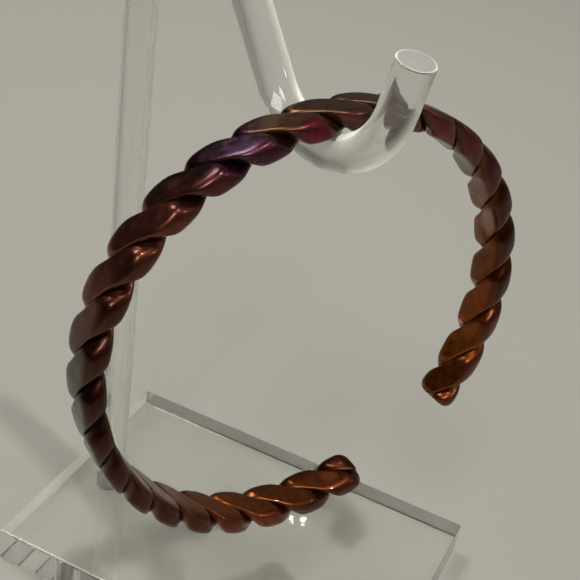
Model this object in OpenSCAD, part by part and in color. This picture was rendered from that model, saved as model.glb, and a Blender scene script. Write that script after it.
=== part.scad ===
// Open cuff bracelet of two twisted copper wires, hung on a plain clear hook stand.
// Millimetres. The origin is the middle of the base plate's underside, +Z is up,
// the hole for the wrist runs along Y and the front of the cuff faces -Y.

/* [Cuff] */
// Mean radius of the cuff, out to the middle of its band
cuff_r = 32.57; // [30:0.01:36]
// How far the cuff's long way stands out past the mean radius
oval = 0.6; // [0:0.1:1.5]
// Direction of the long way, anticlockwise from +X
oval_dir = -24.5; // [-90:0.5:90]
// Three-cornered part of the hand-bent outline
lobing = 0.2; // [0:0.1:0.8]
// Direction of the first of those three corners
lobing_dir = 38; // [0:1:119]
// Four-cornered part of the hand-bent outline
squaring = 0.2; // [0:0.1:0.6]
// Direction of the first of those four corners
squaring_dir = -26; // [-45:1:45]
// Angle of the right-hand end of the open cuff
end_right = -36.9; // [-50:0.1:-20]
// Angle of the lower end of the open cuff
end_lower = 293.7; // [280:0.1:305]
// How far the right-hand end is bent forward
bow_right = 1.85; // [0:0.05:2.5]
// How far the lower end is bent forward
bow_lower = 1.6; // [0:0.05:2.5]
// Lean of the hanging cuff, top to the front
cuff_lean = 1.2; // [0:0.1:3]
// Swing of the hanging cuff about the upright, right side to the back
cuff_swing = 0.4; // [-2:0.1:2]
// Roll of the band about its own length, which makes the cuff wider at the front
flare = 4.2; // [0:0.1:8]
// More of that roll on the right side and less on the left
flare_right = 2.9; // [0:0.1:5]

/* [Twist] */
// Diameter of each of the two wires
wire_d = 3.8; // [3:0.1:3.9]
// Distance from the middle of the band to the middle of each wire
wire_offset = 1.97; // [1.96:0.01:2.2]
// Mean length of band in which a wire goes once round the other, right-handed
twist_pitch = 13.55; // [12:0.05:18]
// Where the first wire stands round the band at the top of the cuff
twist_start = 147.5; // [0:0.1:360]
// Degrees by which the twist slackens towards the lower end
end_unwind = 58; // [0:1:70]
// Angle at which it starts to slacken
unwind_from = 256; // [230:1:275]
// Thickness of the band after hammering, inner face to outer face
band_thick = 3.44; // [3:0.01:4.2]
// Width of the band after hammering, front to back
band_wide = 6.87; // [6.4:0.01:8.2]
// Share by which hammering left the left side wider, and half of it thinner
hammer_uneven = 0.085; // [0:0.005:0.12]
// Squareness of the hammered section, 2 for an ellipse
band_square = 4.3; // [2:0.1:6]
// How sharply a wire runs into the hammered flats
hammer_edge = 8; // [4:1:14]

/* [Base] */
// Length of the base plate
plate_l = 68.3; // [60:0.1:90]
// Depth of the base plate
plate_w = 47.3; // [40:0.1:70]
// Thickness of the base plate
plate_t = 6.6; // [6:0.1:10]
// Turn of the base plate about +Z, seen from the cuff
plate_turn = -59; // [-90:0.1:0]
// Distance from the plate's left edge to the rod
rod_inset = 7; // [5:0.1:10]

/* [Hook rod] */
// Diameter of the clear rod
rod_d = 5; // [4:0.1:6]
// Direction of the hook's plane, from the upright out to the crook
hook_dir = -82.8; // [-95:0.1:-75]
// Distance out from the upright to the middle of the crook
crook_reach = 40; // [36:0.1:46]
// Height of the middle of the crook
crook_z = 102.6; // [98:0.1:110]
// Bend radius of the crook, to the middle of the rod
crook_r = 11.8; // [10:0.1:14]
// Slant of the arm from upright, on its way down to the crook
arm_slant = 38; // [30:0.5:50]
// Slant of the short tip from upright
tip_slant = 11; // [0:0.5:20]
// Length of the straight tip past the crook
tip_len = 6.5; // [3:0.1:12]
// Bend radius of the arch over the top, to the middle of the rod
arch_r = 9; // [7:0.1:11]

/* [Hidden] */

// Colours of the dark patina and of the clear acrylic
patina = [0.36, 0.17, 0.1];
clear = [0.88, 0.9, 0.9, 0.45];

// The rod stands in a blind socket with a glue line round and under it
socket_depth = 5.8;
glue_gap = 0.06;

// Rings along a wire, sides round it, and the rounding of its cut ends as [inset, scale]
rings = 226;
sides = 14;
end_round = [[0, 0.78], [0.3, 0.92], [0.9, 1]];
rod_sides = 24;
socket_fn = 48;

// Hand bending as [how far out, direction, corners]
bends = [[oval, oval_dir, 2], [lobing, lobing_dir, 3], [squaring, squaring_dir, 4]];
function total(list) = list * [for (i = list) 1];

// Outline of the cuff: radius at an angle, and how it changes with the angle in radians
function ring_r(a) = cuff_r + total([for (b = bends) b[0] * cos(b[2] * (a - b[1]))]);
function ring_slope(a) = -total([for (b = bends) b[0] * b[2] * sin(b[2] * (a - b[1]))]);
function ring_point(a) = ring_r(a) * [cos(a), sin(a)];

// How far forward of flat the cuff is bent, and the roll of its band
function bow(a) =
    a < 90 ? bow_right * pow((90 - a) / (90 - end_right), 2) : bow_lower * pow((a - 90) / (end_lower - 90), 2);
function roll(a) = flare + flare_right * cos(a);

// Where the cuff hangs: its middle across and along the hole, and the small lift of a
// flat band that bridges the round crook
cuff_x = -6.9;
cuff_y = -17.75;
hang_angle = 94.5;
hang_lift = 0.6;
hang_z = crook_z - crook_r + rod_d / 2 + hang_lift;
cuff_z = hang_z + band_thick / 2 - ring_r(hang_angle) * sin(hang_angle);

// Unit vector out of the band in the cuff's own plane
function ring_out(a) =
    let (r = ring_r(a), slope = ring_slope(a), v = [slope * sin(a) + r * cos(a), r * sin(a) - slope * cos(a)])
    v / norm(v);

function turned(p, a) = [p[0] * cos(a) - p[1] * sin(a), p[0] * sin(a) + p[1] * cos(a)];

// A round wire that runs round its partner at a slope, cut straight across the band
wire_r = wire_d / 2;
slope_ratio = 2 * PI * wire_offset / twist_pitch;
stretch = sqrt(1 + slope_ratio * slope_ratio);
function wire_cut(a) =
    let (lag = 360 / twist_pitch * wire_r * sin(a) * slope_ratio / stretch)
    turned([wire_offset + wire_r * cos(a), wire_r * sin(a) / stretch], lag);

// Hammering draws each point in towards a rounded box, and leaves the middle alone
function box_half(a) =
    [band_thick / 2 * (1 + hammer_uneven / 2 * cos(a)), band_wide / 2 * (1 - hammer_uneven * cos(a))];
function box_reach(p, half) =
    pow(pow(abs(p[0]) / half[0], band_square) + pow(abs(p[1]) / half[1], band_square), 1 / band_square);
function hammered(p, a) = p / pow(1 + pow(box_reach(p, box_half(a)), hammer_edge), 1 / hammer_edge);

// Turn of the twist at an angle round the cuff, which the hand let run ahead of its mean and
// fall behind by these [degrees, direction], once, twice and three times round
twist_sways = [[47.2, -60.8], [12.9, -29], [9.1, -55.3]];
twist_rate = 2 * PI * cuff_r / twist_pitch;
function twist_at(a) =
    twist_start + twist_rate * (a - 90) - end_unwind * max(0, (a - unwind_from) / (end_lower - unwind_from))
        + total([for (i = [0 : 2]) twist_sways[i][0] * cos((i + 1) * (a - twist_sways[i][1]))]);

// Stations along a wire as [angle, scale], closer together at its two rounded ends
mm_angle = 180 / (PI * cuff_r);
end_n = len(end_round);
inset_max = end_round[end_n - 1][0] * mm_angle;
body_from = end_right + inset_max;
body_to = end_lower - inset_max;
stations = concat(
    [for (e = end_round) [end_right + e[0] * mm_angle, e[1]]],
    [for (i = [1 : rings - 1]) [body_from + (body_to - body_from) * i / rings, 1]],
    [for (i = [end_n - 1 : -1 : 0]) [end_lower - end_round[i][0] * mm_angle, end_round[i][1]]]
);

// One ring of points round a wire, in the cuff's plane with the band's width along Y
function wire_ring(a, scale, phase) =
    let (
        middle = ring_point(a),
        out = ring_out(a),
        centre = hammered(turned([wire_offset, 0], twist_at(a) + phase), a)
    )
    [
        for (j = [0 : sides - 1])
            let (
                cut = hammered(turned(wire_cut(360 * j / sides), twist_at(a) + phase), a),
                p = turned(centre + scale * (cut - centre), roll(a))
            )
            [middle[0] + p[0] * out[0], p[1] - bow(a), middle[1] + p[0] * out[1]]
    ];

// A closed skin over a list of rings that all have the same number of points
module swept(ring_list) {
    ring_count = len(ring_list);
    n = len(ring_list[0]);
    walls = [
        for (i = [0 : ring_count - 2], j = [0 : n - 1])
            let (k = (j + 1) % n, low = i * n, high = low + n)
            each [[low + j, high + j, low + k], [high + j, high + k, low + k]]
    ];
    first = [for (j = [0 : n - 1]) j];
    last = [for (j = [n - 1 : -1 : 0]) (ring_count - 1) * n + j];
    polyhedron([for (ring = ring_list) each ring], concat(walls, [first, last]), convexity = 12);
}

module strand(phase) {
    color(patina)
        translate([cuff_x, cuff_y, cuff_z])
            rotate([cuff_lean, 0, cuff_swing])
                swept([for (s = stations) wire_ring(s[0], s[1], phase)]);
}

module strand_a() {
    strand(0);
}

module strand_b() {
    strand(180);
}

// The hook is drawn flat, X out from the upright and Y up, then stood up on the base
arm_top = [crook_reach - crook_r * cos(arm_slant), crook_z - crook_r * sin(arm_slant)];
arm_len = (arm_top[0] - arch_r * (1 + cos(arm_slant))) / sin(arm_slant);
arch_z = arm_top[1] + arm_len * cos(arm_slant) - arch_r * sin(arm_slant);
rod_foot = plate_t - socket_depth + glue_gap;
tip_bevel = 0.25;
bend_step = 6;

// Angles from one value to another in equal steps near bend_step
function bend_angles(from, to) =
    let (n = ceil(abs(to - from) / bend_step))
    [for (i = [0 : n]) from + (to - from) * i / n];

// Places along the middle of the rod as [x, y, heading, radius], foot to tip
function tip_place(along, radius) =
    let (a = 180 - tip_slant, run = along * [sin(tip_slant), cos(tip_slant)])
    [crook_reach - crook_r * cos(a) + run[0], crook_z - crook_r * sin(a) + run[1], a - 90, radius];
rod_path = concat(
    [[0, rod_foot, 90, rod_d / 2]],
    [for (a = bend_angles(180, arm_slant)) [arch_r + arch_r * cos(a), arch_z + arch_r * sin(a), a - 90, rod_d / 2]],
    [
        for (a = bend_angles(arm_slant, 180 - tip_slant))
            [crook_reach - crook_r * cos(a), crook_z - crook_r * sin(a), a - 90, rod_d / 2]
    ],
    [tip_place(tip_len - tip_bevel, rod_d / 2), tip_place(tip_len, rod_d / 2 - tip_bevel)]
);

// One ring of points square across the rod
function rod_ring(p) = [
    for (j = [0 : rod_sides - 1])
        let (a = 360 * j / rod_sides)
        [p[0] - p[3] * cos(a) * sin(p[2]), p[1] + p[3] * cos(a) * cos(p[2]), p[3] * sin(a)]
];

module hook_rod() {
    color(clear)
        rod_place()
            rotate([90, 0, hook_dir])
                swept([for (p = rod_path) rod_ring(p)]);
}

// Puts its children where the rod stands, at the middle of the plate's left side
module rod_place() {
    foot = turned([rod_inset - plate_l / 2, 0], plate_turn);
    translate([foot[0], foot[1], 0])
        children();
}

module base_plate() {
    socket_d = rod_d + 2 * glue_gap;
    color(clear)
        difference() {
            rotate([0, 0, plate_turn])
                translate([-plate_l / 2, -plate_w / 2, 0])
                    cube([plate_l, plate_w, plate_t]);
            rod_place()
                translate([0, 0, plate_t - socket_depth])
                    cylinder(d = socket_d, h = socket_depth + 1, $fn = socket_fn);
        }
}

strand_a();
strand_b();
hook_rod();
base_plate();
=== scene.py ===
"""Looks for the twisted copper cuff and its clear hook stand.

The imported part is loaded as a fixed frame, and each node is replaced by a finer
piece of the same sizes. Lengths are written in millimetres and turned to metres
where a mesh is made. The origin is the middle of the base plate's underside, +Z is
up, the hole for the wrist runs along Y and the front of the cuff faces -Y.
"""

import logging
import math
from collections.abc import Callable, Sequence
from dataclasses import dataclass
from enum import Enum
from typing import Any

import bpy
import numpy as np
from mathutils import Matrix, Vector

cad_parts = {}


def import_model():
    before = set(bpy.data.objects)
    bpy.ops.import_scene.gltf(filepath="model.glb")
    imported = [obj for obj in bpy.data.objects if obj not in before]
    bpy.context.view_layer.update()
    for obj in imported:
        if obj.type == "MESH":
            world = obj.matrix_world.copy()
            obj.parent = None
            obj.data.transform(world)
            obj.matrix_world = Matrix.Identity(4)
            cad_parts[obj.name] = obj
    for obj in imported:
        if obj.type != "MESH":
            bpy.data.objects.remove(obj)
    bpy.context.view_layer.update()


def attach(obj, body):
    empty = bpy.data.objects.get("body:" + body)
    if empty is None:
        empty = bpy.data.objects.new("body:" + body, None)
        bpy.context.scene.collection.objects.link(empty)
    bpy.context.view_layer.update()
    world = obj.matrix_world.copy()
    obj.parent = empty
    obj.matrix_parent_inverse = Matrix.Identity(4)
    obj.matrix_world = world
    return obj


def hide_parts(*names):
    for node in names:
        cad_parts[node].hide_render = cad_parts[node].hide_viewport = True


LOG = logging.getLogger("cuff_on_stand")
MM = 0.001
WELD_M = 1e-7
TINY = 1e-9
SRGB_KNEE = 0.04045
SRGB_SLOPE = 12.92
SRGB_OFFSET = 0.055
SRGB_POWER = 2.4


class Slot(Enum):
    """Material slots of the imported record."""

    COPPER = "patinated_copper"
    ACRYLIC = "clear_acrylic"


def linear(hex_colour: str) -> tuple[float, float, float, float]:
    """Turns an sRGB hex colour to linear light.

    Args:
        hex_colour: Six hex digits, with or without a leading hash.

    Returns:
        Red, green, blue and an alpha of one.
    """
    digits = hex_colour.lstrip("#")
    shares = [int(digits[i : i + 2], 16) / 255 for i in (0, 2, 4)]
    red, green, blue = (
        share / SRGB_SLOPE
        if share <= SRGB_KNEE
        else ((share + SRGB_OFFSET) / (1 + SRGB_OFFSET)) ** SRGB_POWER
        for share in shares
    )
    return red, green, blue, 1.0


def add_node(
    tree: bpy.types.NodeTree,
    kind: str,
    inputs: dict[str | int, Any] | Sequence[Any] = (),
    stops: Sequence[tuple[float, str]] = (),
    **settings: Any,
) -> bpy.types.Node:
    """Adds one shader node with its settings, values and links.

    Args:
        tree: Node tree of a material or of the world.
        kind: Blender's name for the node, after "ShaderNode".
        inputs: Values and output sockets, by the name or number of the node's input,
            or in the order of its inputs.
        stops: Place and sRGB hex colour of each stop, for a node with a colour ramp.
        **settings: Values of the node's own settings.

    Returns:
        The new node.
    """
    node = tree.nodes.new("ShaderNode" + kind)
    for name, value in settings.items():
        setattr(node, name, value)
    if stops:
        ramp = node.color_ramp.elements
        while len(ramp) > 1:
            ramp.remove(ramp[0])
        ramp[0].position = stops[0][0]
        ramp[0].color = linear(stops[0][1])
        for place, colour in stops[1:]:
            ramp.new(place).color = linear(colour)
    for key, value in inputs.items() if isinstance(inputs, dict) else enumerate(inputs):
        socket = node.inputs[key]
        if isinstance(value, bpy.types.NodeSocket):
            tree.links.new(value, socket)
        else:
            socket.default_value = value
    return node


def new_material(name: str) -> tuple[bpy.types.Material, bpy.types.NodeTree]:
    """Makes an empty node material.

    Args:
        name: The material's name.

    Returns:
        The material and its cleared node tree.
    """
    material = bpy.data.materials.new(name)
    material.use_nodes = True
    material.node_tree.nodes.clear()
    return material, material.node_tree


def deselect_all() -> None:
    """Leaves object mode with nothing selected."""
    if bpy.context.object and bpy.context.object.mode != "OBJECT":
        bpy.ops.object.mode_set(mode="OBJECT")
    bpy.ops.object.select_all(action="DESELECT")


def make_active(piece: bpy.types.Object) -> None:
    """Selects one object alone and makes it the active one.

    Args:
        piece: The object.
    """
    deselect_all()
    piece.select_set(True)
    bpy.context.view_layer.objects.active = piece


def named(piece: bpy.types.Object, name: str) -> bpy.types.Object:
    """Names an object and its data.

    Args:
        piece: The object.
        name: The name of both.

    Returns:
        The same object.
    """
    piece.name = name
    piece.data.name = name
    return piece


def select_where(piece: bpy.types.Object, wanted: Callable[[Vector], bool]) -> None:
    """Selects the vertices, and what lies wholly between them, whose place passes a test.

    Args:
        piece: A mesh object in object mode.
        wanted: The test on a vertex's place in metres.
    """
    make_active(piece)
    bpy.ops.object.mode_set(mode="EDIT")
    bpy.ops.mesh.select_mode(type="VERT")
    bpy.ops.mesh.select_all(action="DESELECT")
    bpy.ops.object.mode_set(mode="OBJECT")
    for vertex in piece.data.vertices:
        vertex.select = wanted(vertex.co)
    bpy.ops.object.mode_set(mode="EDIT")
    bpy.ops.mesh.select_mode(type="EDGE")


def bake_place(piece: bpy.types.Object) -> None:
    """Moves an object's place, turn and scale into its mesh."""
    make_active(piece)
    bpy.ops.object.transform_apply(location=True, rotation=True, scale=True)


def store(piece: bpy.types.Object, name: str, values: np.ndarray) -> None:
    """Keeps one number a vertex as a named attribute for the materials to read."""
    attribute = piece.data.attributes.new(name, "FLOAT", "POINT")
    attribute.data.foreach_set("value", values.astype(np.float32).ravel())


@dataclass(frozen=True)
class HeatPatinaCopper:
    """Copper wire, hammered and heat-coloured, then rubbed back on its ridges.

    The flame leaves bright orange copper at the bottom of the cuff and on its right
    side, and maroon, violet and near-black brown over the top and the left. It gives
    the eye a dark glossy metal with coloured flats and small sharp glints. The ridges
    carry rubbed-back copper with a painted highlight, and the grooves a painted shade.

    The edge and flat tints run along a wire from the right end (0) to the lower end (1),
    the first at the edges of the band and the second on its flats. Each bloom is a small
    patch of another oxide colour, by its middle and its radius in millimetres.
    """

    name: str = "heat_patina_copper"
    # Painted shade colour for the groove between the two wires.
    groove_shade_tint: str = "#120504"
    # Rubbed-back copper mixed with a painted highlight along the ridges.
    ridge_wear_and_highlight_tint: str = "#c8905c"
    bloom_mm: float = 4.2
    mottle_mm: float = 1.1
    pit_mm: float = 0.2
    pit_share: float = 0.1
    noise_details: tuple[float, float, float] = (3.0, 4.0, 2.0)
    noise_roughness: float = 0.6
    dent_mm: float = 2.6
    dent_smoothness: float = 0.7
    grain_deep_mm: float = 0.05
    grain_strength: float = 0.28
    dent_deep_mm: float = 0.2
    dent_strength: float = 0.6
    ragged_mm: float = 2.4
    band_shift: float = 0.05
    drift: float = 0.35
    edge_span: tuple[float, float] = (0.64, 1.03)
    groove_shade_span: tuple[float, float] = (0.6, 0.25)
    wear_and_highlight_span: tuple[float, float] = (0.2, 0.9)
    noise_span: tuple[float, float] = (0.3, 0.7)
    cloud: tuple[float, float] = (0.75, 1.2)
    roughness: tuple[float, float] = (0.25, 0.4)
    groove_roughness: float = 0.3
    wear_and_highlight_share: float = 0.08
    metallic: float = 0.94
    lacquer: float = 0.28
    lacquer_roughness: float = 0.03
    edge_tints: tuple[tuple[float, str], ...] = (
        (0.00, "#65361e"),
        (0.06, "#602c16"),
        (0.12, "#3a140a"),
        (0.18, "#3c140c"),
        (0.24, "#521f18"),
        (0.31, "#6c3428"),
        (0.38, "#5d3630"),
        (0.42, "#54242a"),
        (0.46, "#481e30"),
        (0.485, "#4e222c"),
        (0.54, "#693522"),
        (0.58, "#4a2514"),
        (0.66, "#3f180c"),
        (0.76, "#491f16"),
        (0.82, "#4d2212"),
        (0.86, "#62290e"),
        (0.90, "#7d3614"),
        (0.94, "#4e200a"),
        (1.00, "#58280e"),
    )
    flat_tints: tuple[tuple[float, str], ...] = (
        (0.00, "#783c18"),
        (0.06, "#985218"),
        (0.10, "#7c380c"),
        (0.135, "#70380a"),
        (0.17, "#6a3606"),
        (0.215, "#5e3002"),
        (0.245, "#6a4c30"),
        (0.30, "#3e261c"),
        (0.38, "#5a4230"),
        (0.435, "#6a4028"),
        (0.455, "#3e242c"),
        (0.475, "#3a2230"),
        (0.50, "#2e1a14"),
        (0.54, "#78443a"),
        (0.58, "#7c4436"),
        (0.62, "#482a22"),
        (0.66, "#3e2e28"),
        (0.70, "#4b3f38"),
        (0.74, "#705650"),
        (0.78, "#724836"),
        (0.82, "#7a4622"),
        (0.87, "#8c4a16"),
        (0.91, "#6e3a0c"),
        (0.95, "#68320e"),
        (1.00, "#3a1b08"),
    )
    blooms: tuple[tuple[tuple[float, float, float], float, str], ...] = (
        ((-22.6, -19.2, 94.2), 2.5, "#523a52"),
        ((-13.6, -21.7, 95.7), 2.3, "#781c2c"),
        ((-17.4, -18.3, 96.0), 2.4, "#62421e"),
    )

    def build(self) -> bpy.types.Material:
        """Makes the material.

        Returns:
            The copper material, which reads the strand's own attributes.
        """
        material, tree = new_material(self.name)
        place = add_node(tree, "TexCoord").outputs["Object"]
        sizes = (self.bloom_mm, self.mottle_mm, self.pit_mm)
        bloom, mottle, pits = (
            add_node(
                tree,
                "TexNoise",
                {
                    "Vector": place,
                    "Scale": 1 / (size * MM),
                    "Detail": detail,
                    "Roughness": self.noise_roughness,
                },
            ).outputs["Fac"]
            for size, detail in zip(sizes, self.noise_details)
        )
        dents = add_node(
            tree,
            "TexVoronoi",
            {
                "Vector": place,
                "Scale": 1 / (self.dent_mm * MM),
                "Smoothness": self.dent_smoothness,
            },
            feature="SMOOTH_F1",
        )
        lies = {
            name: add_node(tree, "Attribute", attribute_name=name).outputs["Fac"]
            for name in ("sweep", "reach", "across", "ridge")
        }

        shift = add_node(
            tree, "Math", (bloom, self.band_shift, -self.band_shift / 2), operation="MULTIPLY_ADD"
        )
        moved = add_node(tree, "Math", (lies["sweep"], shift.outputs[0]), operation="ADD")
        edge = add_node(tree, "ValToRGB", {"Fac": moved.outputs[0]}, stops=self.edge_tints)
        flat = add_node(tree, "ValToRGB", {"Fac": moved.outputs[0]}, stops=self.flat_tints)
        drift = add_node(
            tree, "Math", (mottle, self.drift, lies["across"]), operation="MULTIPLY_ADD"
        )
        sideways = add_node(tree, "MapRange", (drift.outputs[0], *self.edge_span))
        tint = add_node(
            tree,
            "Mix",
            {0: sideways.outputs[0], 6: flat.outputs["Color"], 7: edge.outputs["Color"]},
            data_type="RGBA",
        )
        coloured = tint.outputs[2]
        for centre, radius, bloom_tint in self.blooms:
            centre_m = tuple(value * MM for value in centre)
            gap = add_node(tree, "VectorMath", (place, centre_m), operation="DISTANCE")
            ragged = add_node(
                tree,
                "Math",
                (mottle, -self.ragged_mm * MM, gap.outputs["Value"]),
                operation="MULTIPLY_ADD",
            )
            rim = ((radius - self.ragged_mm / 2) * MM, (radius - self.ragged_mm) * MM)
            near = add_node(tree, "MapRange", (ragged.outputs[0], *rim))
            coloured = add_node(
                tree,
                "Mix",
                {0: near.outputs[0], 6: coloured, 7: linear(bloom_tint)},
                data_type="RGBA",
            ).outputs[2]
        cloud = add_node(tree, "MapRange", (mottle, *self.noise_span, *self.cloud))
        clouded = add_node(
            tree, "VectorMath", {0: coloured, "Scale": cloud.outputs[0]}, operation="SCALE"
        )
        # Painted shade: the band darkens towards the deep groove between the wires, where shade
        # falls.
        deep = add_node(tree, "MapRange", (lies["reach"], *self.groove_shade_span))
        groove_shaded = add_node(
            tree,
            "Mix",
            {0: deep.outputs[0], 6: clouded.outputs[0], 7: linear(self.groove_shade_tint)},
            data_type="RGBA",
        )
        # Rubbed-back copper on the ridges, together with a painted highlight along them.
        wear_and_highlight = add_node(tree, "MapRange", (lies["ridge"], *self.wear_and_highlight_span, 0.0, self.wear_and_highlight_share))
        worn_and_highlit = add_node(
            tree,
            "Mix",
            {0: wear_and_highlight.outputs[0], 6: groove_shaded.outputs[2], 7: linear(self.ridge_wear_and_highlight_tint)},
            data_type="RGBA",
        )
        gloss = add_node(tree, "MapRange", (mottle, *self.noise_span, *self.roughness))
        dulled = add_node(
            tree,
            "Math",
            (deep.outputs[0], self.groove_roughness, gloss.outputs[0]),
            operation="MULTIPLY_ADD",
        )
        relief = add_node(tree, "Math", (pits, self.pit_share, mottle), operation="MULTIPLY_ADD")
        grain = add_node(
            tree,
            "Bump",
            {
                "Height": relief.outputs[0],
                "Strength": self.grain_strength,
                "Distance": self.grain_deep_mm * MM,
            },
        )
        beaten = add_node(
            tree,
            "Bump",
            {
                "Height": dents.outputs["Distance"],
                "Strength": self.dent_strength,
                "Distance": self.dent_deep_mm * MM,
                "Normal": grain.outputs[0],
            },
        )
        surface = add_node(
            tree,
            "BsdfPrincipled",
            {
                "Base Color": worn_and_highlit.outputs[2],
                "Metallic": self.metallic,
                "Roughness": dulled.outputs[0],
                "Normal": beaten.outputs[0],
                "Coat Weight": self.lacquer,
                "Coat Roughness": self.lacquer_roughness,
            },
        )
        add_node(tree, "OutputMaterial", {"Surface": surface.outputs[0]})
        return material


@dataclass(frozen=True)
class ClearAcrylic:
    """Cast acrylic, flame-polished or left as the saw and a fine sanding leave it.

    It gives the eye glass-like clearness with a faint milky haze and bright edges.
    Lamps shine through it, so that its shadow stays pale. The edge painted sheen is a
    pale strip of painted light along a rod's sides, and the inner painted light is a
    tint painted on faces seen from within: dark for painted shade, pale for a painted caustic.
    """

    name: str
    body_tint: str = "#fbfcfb"
    shade_tint: str = "#a0a09c"
    wave_mm: float = 9.0
    wave_detail: float = 1.0
    wave_roughness: float = 0.4
    wave_deep_mm: float = 0.05
    wave_strength: float = 0.1
    roughness: float = 0.0
    haze: float = 0.02
    clearness: float = 1.0
    ior: float = 1.49
    # Painted sheen: a pale strip painted along a rod's sides where the surface turns away.
    edge_painted_sheen: float = 0.0
    edge_sheen_span: tuple[float, float] = (0.2, 0.5)
    painted_light_tint: str = "#ebece2"
    # Share and colour of the tint painted on faces seen from within: dark for painted shade, pale
    # for a painted caustic.
    inner_painted_light: float = 0.0
    inner_painted_tint: str = "#202020"

    def build(self) -> bpy.types.Material:
        """Makes the material.

        Returns:
            The acrylic material.
        """
        material, tree = new_material(self.name)
        place = add_node(tree, "TexCoord").outputs["Object"]
        wave = add_node(
            tree,
            "TexNoise",
            {
                "Vector": place,
                "Scale": 1 / (self.wave_mm * MM),
                "Detail": self.wave_detail,
                "Roughness": self.wave_roughness,
            },
        ).outputs["Fac"]
        bump = add_node(
            tree,
            "Bump",
            {"Height": wave, "Strength": self.wave_strength, "Distance": self.wave_deep_mm * MM},
        )
        gloss = add_node(
            tree,
            "Math",
            (wave, self.haze, self.roughness),
            operation="MULTIPLY_ADD",
            use_clamp=True,
        )
        body = add_node(
            tree,
            "BsdfPrincipled",
            {
                "Base Color": linear(self.body_tint),
                "Roughness": gloss.outputs[0],
                "IOR": self.ior,
                "Transmission Weight": self.clearness,
                "Normal": bump.outputs[0],
            },
        )
        # Painted sheen: the strip fades in as the surface turns away; faces seen from within take
        # the inner painted tint.
        slant = add_node(tree, "LayerWeight").outputs["Facing"]
        edge_sheen = add_node(tree, "MapRange", (slant, *self.edge_sheen_span, 0.0, self.edge_painted_sheen))
        inside = add_node(tree, "NewGeometry").outputs["Backfacing"]
        share = add_node(
            tree, "Mix", {0: inside, 2: edge_sheen.outputs[0], 3: self.inner_painted_light}, data_type="FLOAT"
        )
        painted_light_tint = add_node(
            tree,
            "Mix",
            {0: inside, 6: linear(self.painted_light_tint), 7: linear(self.inner_painted_tint)},
            data_type="RGBA",
        ).outputs[2]
        # The painted light is lit as if it faced up, on the skin and through the body in equal
        # parts.
        upwards, downwards = (
            add_node(tree, "CombineXYZ", {"Z": z}).outputs[0] for z in (1.0, -1.0)
        )
        lit_from_above = add_node(tree, "BsdfDiffuse", {"Color": painted_light_tint, "Normal": upwards})
        depth = add_node(tree, "BsdfTranslucent", {"Color": painted_light_tint, "Normal": downwards})
        painted_light_bsdf = add_node(tree, "AddShader", (lit_from_above.outputs[0], depth.outputs[0]))
        body_and_painted_light = add_node(tree, "MixShader", (share.outputs[0], body.outputs[0], painted_light_bsdf.outputs[0]))
        passing = add_node(tree, "BsdfTransparent", {"Color": linear(self.shade_tint)})
        is_shadow = add_node(tree, "LightPath").outputs["Is Shadow Ray"]
        mixed = add_node(tree, "MixShader", (is_shadow, body_and_painted_light.outputs[0], passing.outputs[0]))
        add_node(tree, "OutputMaterial", {"Surface": mixed.outputs[0]})
        return material


@dataclass(frozen=True)
class HonedTable:
    """Plain pale stone-coloured table top, honed to a low sheen.

    It gives the eye an even, quiet ground with only a breath of reflection.
    """

    name: str = "pale_table"
    tint: str = "#bcbcb5"
    roughness: float = 0.42
    specular: float = 0.4

    def build(self) -> bpy.types.Material:
        """Makes the material.

        Returns:
            The table top's material.
        """
        material, tree = new_material(self.name)
        surface = add_node(
            tree,
            "BsdfPrincipled",
            {
                "Base Color": linear(self.tint),
                "Roughness": self.roughness,
                "Specular IOR Level": self.specular,
            },
        )
        add_node(tree, "OutputMaterial", {"Surface": surface.outputs[0]})
        return material


class Wire(Enum):
    """The two wires of the twist, by their phase round the band in degrees."""

    STRAND_A = 0
    STRAND_B = 180


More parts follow.
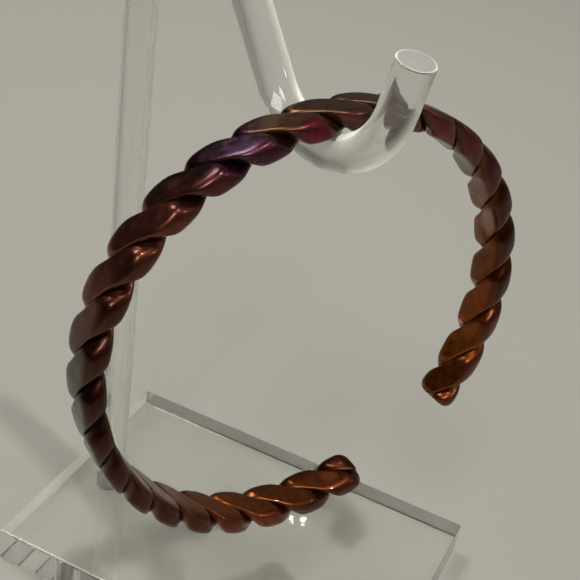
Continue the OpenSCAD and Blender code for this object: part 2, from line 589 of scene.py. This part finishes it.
@dataclass
class TwistedCuff:
    """Open cuff of two round wires twisted right-handed and hammered to a rounded box.

    Angles are in degrees, anticlockwise from +X seen from the front, and lengths in
    millimetres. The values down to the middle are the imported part's own, but for a
    smaller wire offset, which closes the grooves. The rest shape the pressed contact
    between the wires and the round-beaten ends, and set the density of the points.
    """

    cuff_r: float = 32.57
    bends: tuple[tuple[float, float, int], ...] = (
        (0.6, -24.5, 2),
        (0.2, 38.0, 3),
        (0.2, -26.0, 4),
    )
    end_right: float = -36.9
    end_lower: float = 293.7
    bow_right: float = 1.85
    bow_lower: float = 1.6
    cuff_lean: float = 1.2
    cuff_swing: float = 0.4
    flare: float = 4.2
    flare_right: float = 2.9
    wire_d: float = 3.8
    wire_offset: float = 1.91
    twist_pitch: float = 13.55
    twist_start: float = 147.5
    end_unwind: float = 58.0
    unwind_from: float = 256.0
    twist_sways: tuple[tuple[float, float], ...] = (
        (47.2, -60.8),
        (12.9, -29.0),
        (9.1, -55.3),
    )
    band_thick: float = 3.44
    band_wide: float = 6.87
    hammer_uneven: float = 0.085
    band_square: float = 4.3
    hammer_edge: float = 8.0
    middle: tuple[float, float, float] = (-6.9, -17.75, 63.77)
    wire_round: float = 2.0
    wire_squeeze: float = 2.9
    contact_gap: float = 0.03
    end_square: float = 2.4
    end_fade: float = 4.0
    end_round: float = 1.5
    end_scale: float = 0.5
    end_gather: float = 0.75
    end_rings: int = 14
    rings: int = 1150
    sides: int = 72
    ridge_bend: tuple[float, float] = (0.7, 2.3)
    smooth_under: float = 50.0
    finish: HeatPatinaCopper = HeatPatinaCopper()

    def outline(self, angle: np.ndarray) -> tuple[np.ndarray, np.ndarray]:
        """Radius of the hand-bent outline and its change with the angle in radians.

        Args:
            angle: Angles round the cuff in degrees.

        Returns:
            The radius and its change at each angle, in millimetres.
        """
        radius = np.full_like(angle, self.cuff_r)
        slope = np.zeros_like(angle)
        for depth, direction, corners in self.bends:
            turn = np.radians(corners * (angle - direction))
            radius += depth * np.cos(turn)
            slope -= depth * corners * np.sin(turn)
        return radius, slope

    def twist(self, angle: np.ndarray) -> np.ndarray:
        """Turn of the twist at each angle round the cuff.

        Args:
            angle: Angles round the cuff in degrees.

        Returns:
            Turns in degrees.
        """
        turn = self.twist_start + 2 * math.pi * self.cuff_r / self.twist_pitch * (angle - 90)
        for order, (sway, direction) in enumerate(self.twist_sways, start=1):
            turn = turn + sway * np.cos(np.radians(order * (angle - direction)))
        slack = np.clip((angle - self.unwind_from) / (self.end_lower - self.unwind_from), 0, None)
        return turn - self.end_unwind * slack

    def bow(self, angle: np.ndarray) -> np.ndarray:
        """How far forward of flat the cuff is bent at each angle.

        Args:
            angle: Angles round the cuff in degrees.

        Returns:
            Distances in millimetres.
        """
        right = self.bow_right * ((90 - angle) / (90 - self.end_right)) ** 2
        lower = self.bow_lower * ((angle - 90) / (self.end_lower - 90)) ** 2
        return np.where(angle < 90, right, lower)

    def section(self, turn: np.ndarray) -> np.ndarray:
        """Wire cut straight across the band, pressed flat where it meets the other wire.

        Args:
            turn: Turn of the wire round the band at each ring, in degrees.

        Returns:
            Points as an array of rings, sides and (out of the band, along its width).
        """
        slope_ratio = 2 * math.pi * self.wire_offset / self.twist_pitch
        stretch = math.hypot(1, slope_ratio)
        side = 2 * math.pi * np.arange(self.sides) / self.sides
        fullness = np.where(np.cos(side) < 0, self.wire_squeeze, self.wire_round)
        rounded = np.abs(np.cos(side)) ** fullness + np.abs(np.sin(side)) ** fullness
        wire_r = self.wire_d / 2 / rounded ** (1 / fullness)
        lag = 2 * math.pi / self.twist_pitch * wire_r * np.sin(side) * slope_ratio / stretch
        out = self.wire_offset + wire_r * np.cos(side)
        across = wire_r * np.sin(side) / stretch
        away = np.maximum(out * np.cos(lag) - across * np.sin(lag), self.contact_gap / 2)
        along = out * np.sin(lag) + across * np.cos(lag)
        swing = np.radians(turn)[:, None]
        u = away * np.cos(swing) - along * np.sin(swing)
        w = away * np.sin(swing) + along * np.cos(swing)
        return np.stack([u, w], -1)

    def squareness(self, angle: np.ndarray) -> np.ndarray:
        """Squareness of the hammered box at each angle, less at the round-beaten ends.

        Args:
            angle: Angles round the cuff in degrees.

        Returns:
            The power of the box's outline, which is 2 for an ellipse.
        """
        to_end = np.minimum(angle - self.end_right, self.end_lower - angle)
        rounding = np.exp(-((np.radians(to_end) * self.cuff_r / self.end_fade) ** 2))
        return self.band_square - (self.band_square - self.end_square) * rounding

    def reach(self, points: np.ndarray, angle: np.ndarray) -> np.ndarray:
        """How far out each section point lies, where 1 is on the hammered box.

        Args:
            points: Section points as rings, sides and (out of the band, along its width).
            angle: Angle of each ring in degrees.

        Returns:
            One number for each point.
        """
        square = self.squareness(angle)[:, None]
        uneven = self.hammer_uneven * np.cos(np.radians(angle))[:, None]
        u = np.abs(points[..., 0]) / (self.band_thick / 2 * (1 + uneven / 2))
        w = np.abs(points[..., 1]) / (self.band_wide / 2 * (1 - uneven))
        return (u**square + w**square) ** (1 / square)

    def hammered(self, points: np.ndarray, angle: np.ndarray) -> np.ndarray:
        """Section points after the hammer has pressed them in towards the box."""
        edge = self.hammer_edge
        return points / ((1 + self.reach(points, angle) ** edge) ** (1 / edge))[..., None]

    def stations(self) -> tuple[np.ndarray, np.ndarray]:
        """Angle and scale of each ring of points, close together at the rounded ends.

        Returns:
            Angles in degrees and the scale of the section at each.
        """
        mm_angle = 180 / (math.pi * self.cuff_r)
        inset = self.end_round * mm_angle
        ease = np.linspace(0, math.pi / 2, self.end_rings, endpoint=False)
        near = inset * (1 - np.cos(ease))
        rounding = self.end_scale + (1 - self.end_scale) * np.sin(ease)
        body = np.linspace(self.end_right + inset, self.end_lower - inset, self.rings)
        angle = np.concatenate([self.end_right + near, body, (self.end_lower - near)[::-1]])
        scale = np.concatenate([rounding, np.ones(self.rings), rounding[::-1]])
        return angle, scale

    def skin(self, wire: Wire) -> tuple[np.ndarray, np.ndarray, dict[str, np.ndarray]]:
        """Points of one wire's skin.

        Args:
            wire: Which of the two wires.

        Returns:
            Points in millimetres as rings, sides and xyz, the angle of each ring, and
            by name how far each point lies out in the hammered section ("reach") and
            from the middle of the band's width to either edge ("across").
        """
        angle, scale = self.stations()
        turn = self.twist(angle) + wire.value
        away = np.stack([np.cos(np.radians(turn)), np.sin(np.radians(turn))], -1)[:, None, :]
        centre = self.hammered(self.wire_offset * away, angle)
        flat = self.hammered(self.section(turn), angle)
        dome = (1 - self.end_gather) * centre
        flat = dome + scale[:, None, None] * (flat - dome)
        lies = {
            "reach": self.reach(flat, angle),
            "across": np.abs(flat[..., 1]) / (self.band_wide / 2),
        }
        roll = np.radians(self.flare + self.flare_right * np.cos(np.radians(angle)))[:, None]
        u = flat[..., 0] * np.cos(roll) - flat[..., 1] * np.sin(roll)
        w = flat[..., 0] * np.sin(roll) + flat[..., 1] * np.cos(roll)
        radius, slope = self.outline(angle)
        cos_a = np.cos(np.radians(angle))
        sin_a = np.sin(np.radians(angle))
        out = np.stack([slope * sin_a + radius * cos_a, radius * sin_a - slope * cos_a], -1)
        out /= np.linalg.norm(out, axis=1)[:, None]
        x = (radius * cos_a)[:, None] + u * out[:, 0][:, None]
        z = (radius * sin_a)[:, None] + u * out[:, 1][:, None]
        y = w - self.bow(angle)[:, None]
        swing = Matrix.Rotation(math.radians(self.cuff_swing), 3, "Z")
        lean = np.array(swing @ Matrix.Rotation(math.radians(self.cuff_lean), 3, "X"))
        points = np.stack([x, y, z], -1) @ lean.T + np.array(self.middle)
        return points, angle, lies

    def ridges(self, points: np.ndarray) -> np.ndarray:
        """How sharply the skin bends outwards at each point, from 0 on a flat to 1 on a ridge.

        Args:
            points: Rings, sides and xyz in millimetres.

        Returns:
            One number for each point.
        """
        along = np.gradient(points, axis=0)
        around = (np.roll(points, -1, axis=1) - np.roll(points, 1, axis=1)) / 2
        normal = np.cross(around, along)
        normal /= np.linalg.norm(normal, axis=-1, keepdims=True) + TINY
        centre = points.mean(axis=1, keepdims=True)
        normal *= np.sign(((points - centre) * normal).sum(-1, keepdims=True).mean())
        bend_along = (np.gradient(normal, axis=0) * along).sum(-1) / ((along**2).sum(-1) + TINY)
        turned = (np.roll(normal, -1, axis=1) - np.roll(normal, 1, axis=1)) / 2
        bend_around = (turned * around).sum(-1) / ((around**2).sum(-1) + TINY)
        gentle, sharp = self.ridge_bend
        return np.clip((bend_along + bend_around - gentle) / (sharp - gentle), 0, 1)

    def build_wire(self, wire: Wire) -> bpy.types.Object:
        """Rolls a sheet of points up into one wire, closes it and keeps its attributes.

        Args:
            wire: Which of the two wires.

        Returns:
            The finished wire as a mesh object.
        """
        points, angle, lies = self.skin(wire)
        rings, sides = points.shape[:2]
        deselect_all()
        bpy.ops.mesh.primitive_grid_add(x_subdivisions=rings - 1, y_subdivisions=sides, size=1)
        piece = named(bpy.context.object, wire.name.lower() + "_hammered")
        rolled = np.concatenate([points, points[:, :1]], axis=1)
        corners = (rolled.transpose(1, 0, 2) * MM).astype(np.float32)
        piece.data.vertices.foreach_set("co", corners.ravel())
        sweep = (angle - self.end_right) / (self.end_lower - self.end_right)
        per_point = {
            "sweep": np.repeat(sweep[:, None], sides, axis=1),
            "ridge": self.ridges(points),
            **lies,
        }
        for name, values in per_point.items():
            store(piece, name, np.concatenate([values, values[:, :1]], axis=1).T)
        make_active(piece)
        bpy.ops.object.mode_set(mode="EDIT")
        bpy.ops.mesh.select_all(action="SELECT")
        bpy.ops.mesh.remove_doubles(threshold=WELD_M)
        bpy.ops.mesh.fill_holes(sides=0)
        bpy.ops.mesh.select_all(action="SELECT")
        bpy.ops.mesh.normals_make_consistent(inside=False)
        bpy.ops.object.mode_set(mode="OBJECT")
        bpy.ops.object.shade_smooth_by_angle(angle=math.radians(self.smooth_under))
        return piece

    def build(self) -> list[bpy.types.Object]:
        """Makes both wires and puts them in place of their nodes.

        Returns:
            The two wires.
        """
        copper = self.finish.build()
        pieces = []
        for wire in Wire:
            piece = self.build_wire(wire)
            piece.data.materials.clear()
            piece.data.materials.append(copper)
            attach(piece, "root")
            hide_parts(wire.name.lower())
            pieces.append(piece)
        return pieces


@dataclass
class HookStand:
    """Clear rod bent to a hook and glued into a clear rectangular base plate."""

    plate_l: float = 68.3
    plate_w: float = 47.3
    plate_t: float = 6.6
    plate_turn: float = -59.0
    rod_inset: float = 7.0
    rod_d: float = 5.0
    hook_dir: float = -82.8
    crook_reach: float = 40.0
    crook_z: float = 102.6
    crook_r: float = 11.8
    arm_slant: float = 38.0
    tip_slant: float = 11.0
    tip_len: float = 6.5
    arch_r: float = 9.0
    socket_depth: float = 5.8
    glue_gap: float = 0.06
    plate_chamfer: float = 0.35
    chamfer_steps: int = 3
    rim_round: float = 0.25
    rim_steps: int = 4
    rod_sides: int = 64
    bend_step: float = 3.0
    foot_slack: float = 0.01
    smooth_under: float = 12.0
    level_over: float = 0.3
    facing_over: float = 0.7
    # Painted sheen along the rod's sides, over a faint real haze.
    rod_finish: ClearAcrylic = ClearAcrylic("polished_acrylic_rod", clearness=0.91, edge_painted_sheen=0.72)
    end_finish: ClearAcrylic = ClearAcrylic(
        "sanded_acrylic_end", body_tint="#f2f2ec", roughness=0.4, clearness=0.5
    )
    plate_finish: ClearAcrylic = ClearAcrylic("polished_acrylic_sheet", body_tint="#fafbf9")
    # Painted shade: the long walls are darkened where they are seen from within.
    long_wall_finish: ClearAcrylic = ClearAcrylic(
        "painted_shade_acrylic_walls", roughness=0.04, inner_painted_light=0.45
    )
    # Painted caustic: the short walls are lightened to a pale glow where they are seen from
    # within.
    short_wall_finish: ClearAcrylic = ClearAcrylic(
        "painted_caustic_acrylic_walls", roughness=0.04, inner_painted_light=0.5, inner_painted_tint="#f6f4ec"
    )

    def turned(self, direction: Vector) -> Vector:
        """Turns a vector from the plate's own axes to the stand's."""
        return Matrix.Rotation(math.radians(self.plate_turn), 3, "Z") @ direction

    def plate_slot(self, face: bpy.types.MeshPolygon) -> int:
        """Tells the plate's polished faces from its long and short walls.

        Args:
            face: A face of the finished plate.

        Returns:
            0 for a polished face, 1 for a long wall and 2 for a short one.
        """
        if abs(face.normal.z) > self.level_over:
            return 0
        across = self.turned(Vector((0, 1, 0)))
        return 1 if abs(face.normal.dot(across)) > self.facing_over else 2

    @staticmethod
    def rod_slot(face: bpy.types.MeshPolygon) -> int:
        """Tells the rod's skin (0) from its flat cut ends (1), which have many corners."""
        return int(len(face.vertices) > 4)

    def rod_place(self) -> Vector:
        """Where the rod stands on the base, in metres."""
        return self.turned(Vector((self.rod_inset - self.plate_l / 2, 0, 0))) * MM

    def bend(self, centre: tuple[float, float], sweep: float) -> None:
        """Bends the open end of the rod on round a centre in the hook's plane.

        Args:
            centre: X and Z of the bend's centre in millimetres.
            sweep: Angle of the bend in degrees, positive from +Z towards +X, which the
                spin operator counts the other way.
        """
        bpy.ops.mesh.spin(
            steps=math.ceil(abs(sweep) / self.bend_step),
            angle=-math.radians(sweep),
            center=(centre[0] * MM, 0, centre[1] * MM),
            axis=(0, 1, 0),
        )

    def build_rod(self) -> bpy.types.Object:
        """Extrudes and bends the rod from its foot to its tip, flat in the XZ plane.

        Returns:
            The rod as a mesh object, stood on the base.
        """
        slant = math.radians(self.arm_slant)
        tip = math.radians(self.tip_slant)
        foot_z = self.plate_t - self.socket_depth + self.glue_gap
        arm_x = self.crook_reach - self.crook_r * math.cos(slant)
        arm_z = self.crook_z - self.crook_r * math.sin(slant)
        arm_len = (arm_x - self.arch_r * (1 + math.cos(slant))) / math.sin(slant)
        arch_z = arm_z + arm_len * math.cos(slant) - self.arch_r * math.sin(slant)
        deselect_all()
        bpy.ops.mesh.primitive_circle_add(
            vertices=self.rod_sides,
            radius=self.rod_d / 2 * MM,
            fill_type="NOTHING",
            location=(0, 0, foot_z * MM),
        )
        piece = named(bpy.context.object, "hook_rod_polished")
        bake_place(piece)
        bpy.ops.object.mode_set(mode="EDIT")
        bpy.ops.mesh.select_all(action="SELECT")
        upright = Vector((0, 0, arch_z - foot_z)) * MM
        bpy.ops.mesh.extrude_edges_move(TRANSFORM_OT_translate={"value": upright})
        self.bend((self.arch_r, arch_z), 180 - self.arm_slant)
        arm = Vector((math.sin(slant), 0, -math.cos(slant))) * (arm_len * MM)
        bpy.ops.mesh.extrude_edges_move(TRANSFORM_OT_translate={"value": arm})
        self.bend((self.crook_reach, self.crook_z), -(180 - self.tip_slant - self.arm_slant))
        rise = Vector((math.sin(tip), 0, math.cos(tip))) * (self.tip_len * MM)
        bpy.ops.mesh.extrude_edges_move(TRANSFORM_OT_translate={"value": rise})
        bpy.ops.mesh.edge_face_add()
        bpy.ops.mesh.bevel(offset=self.rim_round * MM, segments=self.rim_steps, affect="EDGES")
        bpy.ops.object.mode_set(mode="OBJECT")
        foot_top = (foot_z + self.foot_slack) * MM
        select_where(piece, lambda place: place.x < self.arch_r * MM and place.z < foot_top)
        bpy.ops.mesh.edge_face_add()
        bpy.ops.mesh.select_all(action="SELECT")
        bpy.ops.mesh.normals_make_consistent(inside=False)
        bpy.ops.object.mode_set(mode="OBJECT")
        piece.rotation_euler = (0, 0, math.radians(self.hook_dir))
        piece.location = self.rod_place()
        bake_place(piece)
        bpy.ops.object.shade_smooth_by_angle(angle=math.radians(self.smooth_under))
        return piece

    def build_plate(self) -> bpy.types.Object:
        """Makes the base plate with polished chamfers and the rod's blind socket.

        Returns:
            The plate as a mesh object.
        """
        deselect_all()
        bpy.ops.mesh.primitive_cube_add(size=1, location=(0, 0, self.plate_t / 2 * MM))
        piece = named(bpy.context.object, "base_plate_polished")
        piece.scale = (self.plate_l * MM, self.plate_w * MM, self.plate_t * MM)
        bake_place(piece)
        bpy.ops.object.mode_set(mode="EDIT")
        bpy.ops.mesh.select_all(action="SELECT")
        bpy.ops.mesh.bevel(
            offset=self.plate_chamfer * MM, segments=self.chamfer_steps, affect="EDGES"
        )
        bpy.ops.object.mode_set(mode="OBJECT")
        deselect_all()
        bpy.ops.mesh.primitive_cylinder_add(
            vertices=self.rod_sides,
            radius=(self.rod_d / 2 + self.glue_gap) * MM,
            depth=2 * self.socket_depth * MM,
            location=((self.rod_inset - self.plate_l / 2) * MM, 0, self.plate_t * MM),
        )
        drill = named(bpy.context.object, "socket_drill")
        make_active(piece)
        cut = piece.modifiers.new("socket", "BOOLEAN")
        cut.operation = "DIFFERENCE"
        cut.object = drill
        bpy.ops.object.modifier_apply(modifier=cut.name)
        bpy.data.objects.remove(drill)
        piece.rotation_euler = (0, 0, math.radians(self.plate_turn))
        bake_place(piece)
        bpy.ops.object.shade_smooth_by_angle(angle=math.radians(self.smooth_under))
        return piece

    def build(self) -> list[bpy.types.Object]:
        """Makes the rod and the plate and puts them in place of their nodes.

        Returns:
            The rod and the plate.
        """
        pieces = []
        parts = (
            ("hook_rod", self.build_rod, (self.rod_finish, self.end_finish), self.rod_slot),
            (
                "base_plate",
                self.build_plate,
                (self.plate_finish, self.long_wall_finish, self.short_wall_finish),
                self.plate_slot,
            ),
        )
        for node, make, finishes, slot_of in parts:
            piece = make()
            piece.data.materials.clear()
            for finish in finishes:
                piece.data.materials.append(finish.build())
            for face in piece.data.polygons:
                face.material_index = slot_of(face)
            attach(piece, "root")
            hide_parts(node)
            pieces.append(piece)
        return pieces


@dataclass(frozen=True)
class SoftLamp:
    """One square soft lamp that is aimed at the object."""

    name: str
    place: tuple[float, float, float]
    size: float
    power: float
    spread: float = 180.0
    target: tuple[float, float, float] = (0, 0, 0.05)
    tint: str = "#fffaf4"

    def build(self) -> None:
        """Makes the lamp and aims it."""
        data = bpy.data.lights.new(self.name, "AREA")
        data.shape = "SQUARE"
        data.size = self.size
        data.energy = self.power
        data.spread = math.radians(self.spread)
        data.color = linear(self.tint)[:3]
        lamp = bpy.data.objects.new(self.name, data)
        bpy.context.scene.collection.objects.link(lamp)
        lamp.location = self.place
        aim = Vector(self.target) - Vector(self.place)
        lamp.rotation_euler = aim.to_track_quat("-Z", "Y").to_euler()


@dataclass
class Studio:
    """Pale table, soft lamps and the camera at the photograph's angle.

    The camera's place, lens and sensor and the gap under the plate are in millimetres,
    and the floor's size, the clipping and the lamps' places and sizes in metres. The room
    is dim where the cosine to its bright side is at the start of its span, and bright at
    the end.
    """

    floor_gap: float = 0.15
    floor_half: float = 3.0
    camera_place: tuple[float, float, float] = (-87.376, -116.626, 149.210)
    camera_right: tuple[float, float, float] = (0.83247, -0.53784, 0.13312)
    camera_down: tuple[float, float, float] = (-0.19733, -0.5123, -0.83583)
    lens: float = 69.485
    sensor: float = 36.0
    clipping: tuple[float, float] = (0.005, 20.0)
    room_tint: str = "#b3afa8"
    bright_side: tuple[float, float, float] = (0.74, -0.3, 0.6)
    room_span: tuple[float, float] = (-0.3, 1.0)
    room_strengths: tuple[float, float] = (0.06, 0.5)
    light_bounces: int = 24
    lamps: tuple[SoftLamp, ...] = (
        SoftLamp(
            "overhead_softbox", (-0.25, 0.6, 1.2), 0.4, 0.82, spread=60.0, target=(0.14, 0.2, 0)
        ),
        SoftLamp("right_front_lamp", (0.83, -0.85, 1.07), 0.1, 1.2),
        SoftLamp("left_front_lamp", (-0.74, -0.7, 1.44), 0.45, 6.6),
        SoftLamp("front_lamp", (0.1, -0.43, 1.6), 0.05, 5.8),
        SoftLamp("back_spot_left", (0.479, 0.552, 0.695), 0.004, 0.003),
        SoftLamp("back_spot_right", (0.489, 0.544, 0.694), 0.0045, 0.004),
    )

    def build_camera(self) -> None:
        """Places the camera as the photograph's view was worked out."""
        data = bpy.data.cameras.new("photo_view")
        data.lens = self.lens
        data.sensor_width = self.sensor
        data.clip_start, data.clip_end = self.clipping
        right = Vector(self.camera_right).normalized()
        up = -Vector(self.camera_down)
        up = (up - up.dot(right) * right).normalized()
        turn = Matrix((right, up, right.cross(up))).transposed()
        camera = bpy.data.objects.new("photo_view", data)
        bpy.context.scene.collection.objects.link(camera)
        camera.matrix_world = Matrix.Translation(Vector(self.camera_place) * MM) @ turn.to_4x4()
        bpy.context.scene.camera = camera

    def build_floor(self) -> None:
        """Lays the table top just under the base plate."""
        deselect_all()
        bpy.ops.mesh.primitive_plane_add(
            size=2 * self.floor_half, location=(0, 0, -self.floor_gap * MM)
        )
        floor = named(bpy.context.object, "table_top")
        bake_place(floor)
        floor.data.materials.append(HonedTable().build())

    def build_room(self) -> None:
        """Fills the room with soft light, dim at the back left and brighter on the right."""
        world = bpy.data.worlds.new("room")
        world.use_nodes = True
        world.node_tree.nodes.clear()
        tree = world.node_tree
        direction = add_node(tree, "TexCoord").outputs["Generated"]
        towards = tuple(Vector(self.bright_side).normalized())
        facing = add_node(tree, "VectorMath", (direction, towards), operation="DOT_PRODUCT")
        strength = add_node(
            tree,
            "MapRange",
            (facing.outputs["Value"], *self.room_span, *self.room_strengths),
            interpolation_type="SMOOTHSTEP",
        )
        colour = linear(self.room_tint)
        glow = add_node(tree, "Background", {"Color": colour, "Strength": strength.outputs[0]})
        add_node(tree, "OutputWorld", {"Surface": glow.outputs[0]})
        bpy.context.scene.world = world

    def set_light_paths(self) -> None:
        """Lets light run on inside the clear pieces, and keeps the colours as they are lit."""
        scene = bpy.context.scene
        scene.view_settings.view_transform = "Standard"
        scene.cycles.max_bounces = self.light_bounces
        scene.cycles.glossy_bounces = self.light_bounces
        scene.cycles.transmission_bounces = self.light_bounces
        scene.cycles.transparent_max_bounces = self.light_bounces

    def build(self) -> None:
        """Makes the camera, the table, the room and the lamps."""
        self.set_light_paths()
        self.build_camera()
        self.build_floor()
        self.build_room()
        for lamp in self.lamps:
            lamp.build()


def main() -> None:
    """Builds the studio and each sub-assembly."""
    logging.basicConfig(level=logging.INFO, format="%(name)s: %(message)s")
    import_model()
    Studio().build()
    for assembly in (TwistedCuff(), HookStand()):
        maker = type(assembly).__name__
        for piece in assembly.build():
            LOG.info("%s: %d faces in %s", maker, len(piece.data.polygons), piece.name)


if __name__ == "__main__":
    main()
